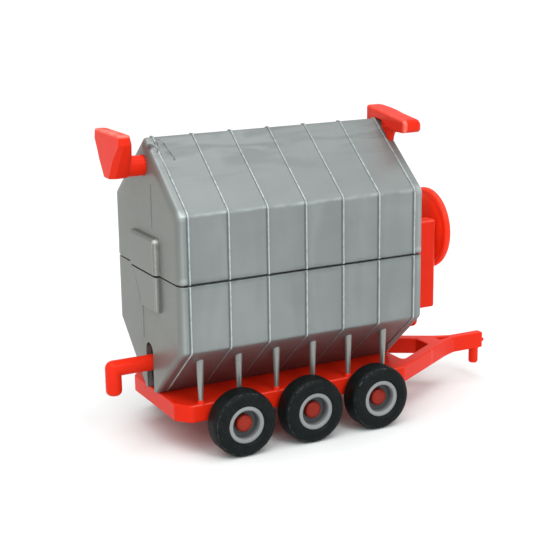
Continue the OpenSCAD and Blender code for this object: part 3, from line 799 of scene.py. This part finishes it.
def roof_blemish():
    """An uneven blemish across the rearmost rib, near the ridge: two lumps and a curved fold beside them."""
    slope_y, slope_z = math.cos(ROOF), math.sin(ROOF)
    fold = [(-26.0, 0.9), (-25.35, 2.0), (-25.1, 3.4), (-24.85, 4.8), (-24.5, 6.2)]

    def height(x, down):
        h = 0.45 * math.exp(-((x + 28.15) / 0.45) ** 2 - ((down - 2.4) / 0.55) ** 2)
        h += 0.40 * math.exp(-((x + 26.75) / 0.38) ** 2 - ((down - 1.7) / 0.55) ** 2)
        h += 0.26 * math.exp(-((x + 27.3) / 0.5) ** 2 - ((down - 3.4) / 0.8) ** 2)
        best = 9.0
        for (xa, da), (xb, db) in zip(fold, fold[1:]):
            along = Vector((xb - xa, db - da))
            t = max(0.0, min(1.0, Vector((x - xa, down - da)).dot(along) / along.length_squared))
            best = min(best, math.hypot(x - xa - along.x * t, down - da - along.y * t))
        h += 0.27 * math.exp(-(best / 0.42) ** 2)
        past = max(0.0, -x - (HALF_LEN - END_X)) / END_X
        drop = END_IN * (1 - math.sqrt(max(0.0, 1 - past * past)))
        return h * (1.3 + 0.7 * noise.noise(Vector((x * 1.3, down * 1.3, 7.7)))) - 0.07 - drop

    cols, rows = 54, 60
    verts, faces = [], []
    for lower in (0, 1):
        for j in range(rows + 1):
            down = 0.3 + 6.7 * j / rows
            for i in range(cols + 1):
                x = -28.8 + 4.9 * i / cols
                inside = 0 < i < cols and 0 < j < rows
                h = -1.4 if lower else height(x, down) - (0 if inside else 0.2)
                verts.append((x, -RIDGE_FLAT - down * slope_y - h * slope_z,
                              RIDGE - down * slope_z + h * slope_y))
    c = cols + 1
    base = c * (rows + 1)
    for j in range(rows):
        for i in range(cols):
            q = j * c + i
            faces += [(q, q + 1, q + c + 1, q + c),
                      (base + q, base + q + c, base + q + c + 1, base + q + 1)]
    rim = [*range(c), *range(c + cols, base, c), *range(base - 2, base - c - 1, -1),
           *range(base - 2 * c, 0, -c)]
    faces += [(a, b, base + b, base + a) for a, b in zip(rim, rim[1:] + rim[:1])]
    piece("roof_blemish", (verts, faces), blemish, sharp=60, weighted=False)


def posts(name, side, node):
    """A row of posts that thicken upwards, from the deck into the tapered side."""
    top = (POST_Y - KEEL) * math.tan(SLOPE) + 0.9
    profile = [(0, -0.9), (0.46, -0.9), (0.47, 0.1), (0.50, 0.8), (0.60, 3.2), (0.72, 6.0), (0.80, 8.2),
               (0.84, 8.9), (0.86, top), (0, top)]
    parts = [lathe(profile, (x, side * POST_Y, DECK), "z", 28) for x in POSTS]
    piece(name, join_parts(parts), post_silver, [node], sharp=40)


# ---- chassis

def chassis():
    """The deck with the drawbar, the posts' sockets, the hitch peg, the nose's nub and the axle clips."""
    side = [(-28.54, -11.2), (-26.0, -14.26), (26.6, -14.26), (46.2, -2.7), (49.6, -1.2), (58.2, -1.2)]
    radii = [0.9, 1.4, 2.6, 1.6, 3.0, 0.6]
    outline = fillet(side + [(x, -y) for x, y in side[::-1]], radii + radii[::-1], 7)
    big = fillet([(29.5, -9.5), (41.1, -2.5), (41.1, 2.5), (29.5, 9.5)], [0.7, 0.6, 0.6, 0.7], 5)
    small = fillet([(45.5, -0.9), (48.6, -0.25), (48.6, 0.25), (45.5, 0.9)], 0.2, 3)
    deck = slab(outline, DECK - 3.8, DECK, 0.32, [big, small], "z", 3, 0.25)
    piece("chassis_plate", deck, red, ["chassis"], sharp=34)

    profile = [(0, -0.3), (0.86, -0.3), (0.86, 0.05), (0.80, 0.35), (0.66, 0.62), (0.5, 0.70), (0, 0.70)]
    sockets = [lathe(profile, (x, y, DECK), "z", 28) for x in POSTS for y in (-POST_Y, POST_Y)]
    piece("post_sockets", join_parts(sockets), red, sharp=50)

    profile = [(0, 3.6), (0.55, 3.6), (0.88, 3.68), (1.08, 3.88), (1.15, 4.2), (1.15, 7.1), (1.2, 7.35),
               (1.4, 7.55), (1.2, 8.2), (0, 8.2)]
    piece("hitch_peg", lathe(profile, (56.2, 0, 0), "z", 40), red, sharp=50)
    profile = [(0, NOSE - 1.2), (0.5, NOSE - 1.2), (0.5, 58.75), (0.42, 58.98), (0.2, 59.08), (0, NOSE)]
    piece("nose_nub", lathe(profile, (0, 0, 9.1), "x", 24), red, sharp=50)

    clips = []
    for x in AXLES:
        for y in (-11, 11):
            bore = [*range(219, 90, -12), 90, *range(81, -40, -12)]
            outline = [(x - 2.1, 7.9), (x - 2.1, 5.2), (x - 0.96, 5.2)]
            outline += [p for a in bore for p in arc(x, TYRE_R, 1.23, a, a, 1)[:1]]
            outline += [(x + 0.96, 5.2), (x + 2.1, 5.2), (x + 2.1, 7.9), (x + 1.6, 9.0), (x - 1.6, 9.0)]
            clips.append(slab(outline, y - 2.2, y + 2.2, 0.12, axis="y", n=2))
    piece("axle_clips", join_parts(clips), red)


# ---- wheels

def wheel(i, side):
    """A tyre with a pale lip, partly rubbed and partly painted highlight, and a rim with a deep dish
    darkened by painted shade; side is -1 for the near side, 1 for the far.
    """
    x = AXLES[i]
    tag = AXLE_NAMES[i] + ("_near" if side < 0 else "_far")
    body = tag + "_wheel"

    def turned(profile):
        return lathe([(r, side * a) for r, a in profile], (x, 0, TYRE_R), "y", 96, closed=True)

    def radius(px, pz):
        return math.hypot(px - x, pz - TYRE_R)

    # Profiles are (radius, distance from the middle of the object)
    profile = [(4.05, 19.92), (4.30, 19.98), (4.42, 20.12), (4.62, 20.22), (4.95, 20.26), (5.35, 20.27),
               (5.75, 20.25), (6.15, 20.17), (6.42, 20.05), (6.56, 19.93), (6.62, 19.90), (6.68, 19.93),
               (6.75, 19.90), (6.78, 19.80), (6.80, 19.68), (6.88, 19.62), (6.98, 19.46), (7.07, 19.22),
               (7.12, 18.9), (TYRE_R, 18.4), (TYRE_R, 16.5), (7.12, 16.0), (7.05, 15.7), (6.90, 15.42),
               (6.66, 15.2), (6.40, 15.06), (6.05, 14.95), (5.6, 14.88), (5.1, 14.86), (4.6, 14.90),
               (4.3, 15.0), (4.05, 15.2)]
    fine = []
    for (r0, a0), (r1, a1) in zip(profile, profile[1:]):
        fine.append((r0, a0))
        if math.hypot(r1 - r0, a1 - a0) > 0.3:
            fine.append(((r0 + r1) / 2, (a0 + a1) / 2))
    fine.append(profile[-1])

    # A pale ring on the lip's outer face, partly wear and partly painted highlight
    def lip(px, py, pz):
        return math.exp(-((radius(px, pz) - 6.73) / 0.07) ** 2) if abs(py) > 19 else 0.0

    piece(tag + "_tyre_skin", turned(fine), tyre_black, [tag + "_tyre"], body, 40, False, lip)

    ring, web = 20.02, 17.8
    profile = [(1.26, 15.78), (1.26, web - 0.1), (1.32, web), (2.70, web), (2.90, web + 0.06),
               (3.0, web + 0.25), (3.04, 18.4), (3.07, 18.9), (3.10, 19.45), (3.13, 19.75), (3.20, 19.92),
               (3.32, ring), (3.84, ring), (3.98, 19.97), (4.05, 19.88), (4.05, 15.15), (3.9, 15.14),
               (3.12, 15.14), (3.05, 15.2), (3.02, 15.62), (2.9, 15.70), (1.32, 15.70)]

    # How deep a point lies in the dish, which the rim's material turns into painted shade
    def depth(px, py, pz):
        return max(0.0, min(1.0, (19.9 - abs(py)) / 1.9)) if radius(px, pz) < 3.25 else 0.0

    piece(tag + "_rim_skin", turned(profile), rim_grey, [tag + "_rim"], body, 40, mark=depth)


def axle(i):
    """A thin axle with round caps outside the wheels and collars inside them."""
    node = AXLE_NAMES[i] + "_axle"
    face = 19.27
    half = [(0, face), (0.8, face - 0.03), (1.25, face - 0.1), (1.6, face - 0.24), (1.78, face - 0.4),
            (1.86, face - 0.6), (1.9, 17.96), (1.86, 17.88), (1.2, 17.88), (1.2, 15.62), (1.72, 15.60),
            (1.8, 15.52), (1.8, 14.44), (1.72, 14.36), (1.2, 14.36)]
    profile = half + [(r, -a) for r, a in half[::-1]]
    piece(node + "_bar", lathe(profile, (AXLES[i], 0, TYRE_R), "y", 64), cap_red_shaded, [node], sharp=40)


# ---- augers

def unload_auger():
    """The tube through the keel, and the spout that turns down at its rear end."""
    r = 1.75
    profile = [(0, -34.0), (1.6, -34.0), (r - 0.04, -33.97), (r, -33.9), (r, 37.95), (r - 0.06, 38.25),
               (r - 0.22, 38.5), (r - 0.45, 38.6), (0, 38.6)]
    piece("unload_tube_skin", lathe(profile, (0, 0, UNLOAD_Z), "x", 48), red, ["unload_auger_tube"],
          "unload_auger", 40)

    spout_x, low, lip, mouth = -37.6, 11.4, 1.15, 0.5
    leg = [(0, low + 1.5), (mouth - 0.05, low + 1.5), (mouth, low + 1.4), (mouth, low + 0.12),
           (mouth + 0.1, low)]
    leg += [(r - lip + a, b) for a, b in arc(0, low + lip, lip, -90, 0, 6)] + [(r, UNLOAD_Z), (0, UNLOAD_Z)]
    upright = solid("leg", lathe(leg, (spout_x, 0, 0), "z", 48))
    level = solid("level", rod(r, spout_x, -33.98, (0, 0, UNLOAD_Z), "x", 48))
    ball = [(r * math.sin(math.pi * k / 20), -r * math.cos(math.pi * k / 20)) for k in range(21)]
    ball[0], ball[-1] = (0, -r), (0, r)
    corner = solid("corner", lathe(ball, (spout_x, 0, UNLOAD_Z), "z", 48))
    me = cut(upright, [level, corner], "UNION")
    dress("spout_skin", me, red, ["discharge_spout"], "unload_auger", 50, False)


def fill_auger():
    """The tube under the rear gable and the flat, fan-shaped hopper on it."""
    r = 2.15
    profile = [(0, -33.6), (r - 0.02, -33.6), (r, -33.4), (r, 27.5), (r - 0.1, 27.7), (0, 27.72)]
    piece("fill_tube_skin", lathe(profile, (0, 0, FILL_Z), "x", 56), red, ["fill_auger_tube"],
          "fill_auger", 40)

    foot, wide, top = 58.2, 65.8, 67.8  # heights of the foot, of the full width and of the rim

    def ring_at(z, shrink=0.0):
        half = 1.93 + (7.3 - 1.93) * (z - foot) / (wide - foot) if z < wide else 7.3
        rear = -37.2 if z < 61.9 else -37.2 + 0.5 * (z - 61.9) / (top - 61.9)
        front = -33.0 if z < 62.6 else -33.0 - 1.1 * (z - 62.6) / (top - 62.6)
        up = max(0.0, min(1.0, (z - 59.0) / 6.8))
        bevel = 0.3 + 0.95 * up
        chamfer = 0.75 - 0.45 * max(0.0, up - 0.6) / 0.4
        deep = front - rear
        pts = [(rear, -half + chamfer), (rear + 0.3 * deep, -half), (front - 0.25 * deep, -half + 0.15),
               (front, -half + bevel)]
        radii = [0.3, 0.5, 0.6, 0.6]
        ring = anticlockwise(fillet(pts + [(x, -y) for x, y in pts[::-1]], radii + radii[::-1], 4))
        return [(x, y, z) for x, y in (inset(ring, shrink) if shrink else ring)]

    # Height and how far the ring is drawn in: the rounded foot, the walls and the rounded rim
    levels = [(foot, 0.5), (58.23, 0.3), (58.32, 0.12), (58.5, 0.0)]
    levels += [(z, 0.0) for z in (60.0, 61.2, 61.9, 62.6, 63.6, 64.8, 65.6, wide, 66.1, 66.8, 67.45)]
    rings = [ring_at(z, d) for z, d in levels + [(67.62, 0.05), (67.74, 0.15), (top, 0.32)]]
    # The shallow mouth
    for z, d in ((67.78, 0.50), (67.72, 0.56), (67.60, 0.60), (67.56, 0.68)):
        rings.append([(x, y, z) for x, y, _ in ring_at(top, d)])
    piece("fill_hopper_skin", loft(rings), red, ["fill_hopper"], "fill_auger", 40)


# ---- front fittings

def drive_hood():
    """A long block across the front end of the roof, its web and the peg that carries it."""
    x0, x1 = 27.1, 32.1
    far, near = 3.2, -12.6
    far_top, near_top = 68.75, 66.67
    under = [(far, 65.1), (1.1, 65.7), (0.5, 66.03), (-0.6, 66.03), (-2.6, 65.9), (-3.8, 65.4), (-5.6, 64.5),
             (-8.2, 63.9), (near, 63.9)]

    def low_at(y):
        for (ya, za), (yb, zb) in zip(under, under[1:]):
            if y >= yb:
                return za + (zb - za) * (ya - y) / (ya - yb)
        return under[-1][1]

    def corner(depth, r):
        """How far a side has turned in at this depth from an end that is rounded by r."""
        return r - math.sqrt(max(0.0, r * r - max(0.0, r - depth) ** 2))

    steps = [1 - math.cos(t) for t in quarter(9)]
    places = [far - 1.2 * t for t in steps] + [1.2 - 0.9 * k for k in range(12)]
    places += [near + 2.3 * t for t in steps[::-1]]
    rings = []
    for y in places:
        top = far_top + (near_top - far_top) * (far - y) / (far - near)
        low = low_at(y)
        to_far, to_near = far - y, y - near
        a = x0 + corner(to_far, 0.35) + corner(to_near, 0.8)
        b = x1 - corner(to_far, 1.2) - corner(to_near, 1.8)
        drop = 0.9 * corner(to_near, 1.2) + 0.5 * corner(to_far, 0.35)
        room = 0.45 * (b - a)
        ring = fillet([(a, low + drop), (b, low + drop), (b, top - drop), (a, top - drop)],
                      [min(0.35, room), min(0.8, room), min(1.5, room), min(0.55, room)], 5)
        rings.append([(x, y, z) for x, z in ring])
    piece("drive_hood_skin", loft(rings), red, ["drive_hood"], sharp=40)

    def on_roof(y):
        return (y, RIDGE - (abs(y) - RIDGE_FLAT) * math.tan(ROOF) + 0.07)

    web = [(-2.6, 66.4), on_roof(-2.6), on_roof(-5.9), (-6.15, 62.6), (-6.5, 63.3), (-7.4, 63.8),
           (-8.8, 64.1), (-8.8, 64.6)]
    piece("drive_hood_web", slab(web, 27.5, 28.7, 0.1, axis="x", n=2), red, sharp=50)
    profile = [(0, 58.9), (0.78, 58.9), (0.78, 63.0), (0.84, 63.7), (1.1, 64.4), (1.5, 64.9), (0, 65.1)]
    piece("drive_hood_peg", lathe(profile, (28.15, PEG_Y, 0), "z", 32), red, sharp=50)


def cabinet():
    """The tall, narrow cabinet on the front wall."""
    outline = fillet([(HALF_LEN - 0.3, -7.0), (39.65, -7.0), (39.65, -3.2), (HALF_LEN - 0.3, -3.2)],
                     [0.1, 0.7, 0.7, 0.1], 6)
    piece("cabinet_skin", slab(outline, 21.9, 42.6, 0.45, n=4), red, ["control_cabinet"], sharp=40)


def fan():
    """A round shroud with a domed back, a raised rim and eight bowed vanes, on a round duct."""
    centre = (0, 0, 39.3)
    back, front, dome = 40.9, 42.2, 1.1
    profile = [(0, back - dome - 0.05), (3.0, back - dome - 0.05)]
    profile += [(3.1 + 6.2 * k / 10, back - dome * (1 - (k / 10) ** 2.2) + 0.28 * (k / 10) ** 8)
                for k in range(8)]
    # A soft groove inside the rim, the rim, the sunk floor and the hub
    profile += [(8.05, back - 0.26), (8.20, back - 0.18), (8.35, back - 0.14), (8.50, back - 0.16),
                (8.68, back - 0.22), (8.95, back - 0.12), (9.22, back + 0.12), (9.40, back + 0.46),
                (9.44, back + 0.65), (9.45, front - 0.4), (9.38, front - 0.15), (9.2, front - 0.03),
                (8.95, front), (8.6, front), (8.45, front - 0.05), (8.35, front - 0.6), (2.3, front - 0.6),
                (2.2, front - 0.5), (2.1, front - 0.12), (1.9, front - 0.02), (0, front)]
    parts = [lathe(profile, centre, "x", 96)]
    for i in range(8):
        turn = 2 * math.pi * i / 8 + 0.2
        c, s = math.cos(turn), math.sin(turn)
        outline = []
        for k, half in [(k, 0.28) for k in range(9)] + [(k, -0.28) for k in range(8, -1, -1)]:
            r = 1.9 + (8.4 - 1.9) * k / 8
            bow = 0.5 * math.sin(math.pi * k / 8) + half
            outline.append((c * r - s * bow, s * r + c * bow + centre[2]))
        parts.append(edge_plate(outline, front - 0.9, front - 0.1, 0.1, 2))
    piece("fan_shroud_skin", join_parts(parts), fan_red_painted_glow, ["fan_shroud"], sharp=40)
    duct = rod(3.0, HALF_LEN - 0.5, back - dome, centre, "x", 56)
    piece("fan_duct_skin", duct, red, ["fan_duct"], sharp=40)


upper_shell()
lower_shell()
seam_tongue()
hatch()
roof_blemish()
posts("near_posts", -1, "near_support_posts")
posts("far_posts", 1, "far_support_posts")
chassis()
for i in range(3):
    axle(i)
    wheel(i, -1)
    wheel(i, 1)
unload_auger()
fill_auger()
drive_hood()
cabinet()
fan()


# ---- floor, light and camera

def floor():
    """A plain, matt, nearly white floor."""
    s = Shader("floor_white")
    fine = s.noise(0.05, 3, 0.5)
    s.surface(Base_Color=s.mix(s.span(fine, 0.3, 0.7), (0.72, 0.72, 0.725), (0.74, 0.74, 0.74)),
              Roughness=s.span(fine, 0.3, 0.7, 0.75, 0.85), Specular_IOR_Level=0.2)
    me = bpy.data.meshes.new("floor")
    e = 6.0  # metres
    me.from_pydata([(-e, -e, 0), (e, -e, 0), (e, e, 0), (-e, e, 0)], [], [(0, 1, 2, 3)])
    me.materials.append(s.m)
    add("floor", me)


def lights():
    """An even, bright studio: a pale sky, a very soft sun, and two soft boxes on the near side."""
    world = bpy.data.worlds.new("studio")
    bpy.context.scene.world = world
    world.use_nodes = True
    bg = world.node_tree.nodes["Background"]
    bg.inputs["Color"].default_value = (1, 0.992, 0.978, 1)
    bg.inputs["Strength"].default_value = 0.74
    sun = bpy.data.lights.new("soft_top", "SUN")
    sun.energy = 2.15
    sun.angle = math.radians(60)
    add("soft_top", sun).rotation_euler = (math.radians(6), math.radians(-6), 0)
    for name, place, power, width in (("softbox", (0.04, -0.62, 0.55), 2.15, 0.34),
                                      ("fill_box", (-0.42, -0.32, 0.42), 0.75, 0.30)):
        box = bpy.data.lights.new(name, "AREA")
        box.shape = "RECTANGLE"
        box.size, box.size_y = width, width * 0.7
        box.energy = power
        box.color = (0.90, 1.0, 1.0)
        ob = add(name, box)
        ob.location = place
        ob.rotation_euler = (Vector((0, 0, 0.03)) - ob.location).to_track_quat("-Z", "Y").to_euler()


def camera():
    """Looks from the near rear corner, a little from above, with a slight roll."""
    azimuth, elevation, roll = math.radians(-27.45), math.radians(14.32), math.radians(-0.77)
    distance = 293.33 * MM
    target = Vector((1.48 + SHIFT, 0, 32.85)) * MM
    ahead = Vector((-math.cos(elevation) * math.sin(azimuth), math.cos(elevation) * math.cos(azimuth),
                    -math.sin(elevation)))
    right = ahead.cross(Vector((0, 0, 1))).normalized()
    up = right.cross(ahead)
    rolled_right = right * math.cos(roll) + up * math.sin(roll)
    rolled_up = up * math.cos(roll) - right * math.sin(roll)
    cam = bpy.data.cameras.new("camera")
    cam.lens = 86.16
    cam.sensor_width = 36
    cam.clip_start, cam.clip_end = 0.01, 20
    place = Matrix((rolled_right, rolled_up, -ahead)).transposed().to_4x4()
    place.translation = target - ahead * distance
    ob = add("camera", cam)
    ob.matrix_world = place
    bpy.context.scene.camera = ob


floor()
lights()
camera()
bpy.context.scene.view_settings.view_transform = "Standard"
bpy.context.scene.view_settings.look = "None"

bpy.context.view_layer.update()
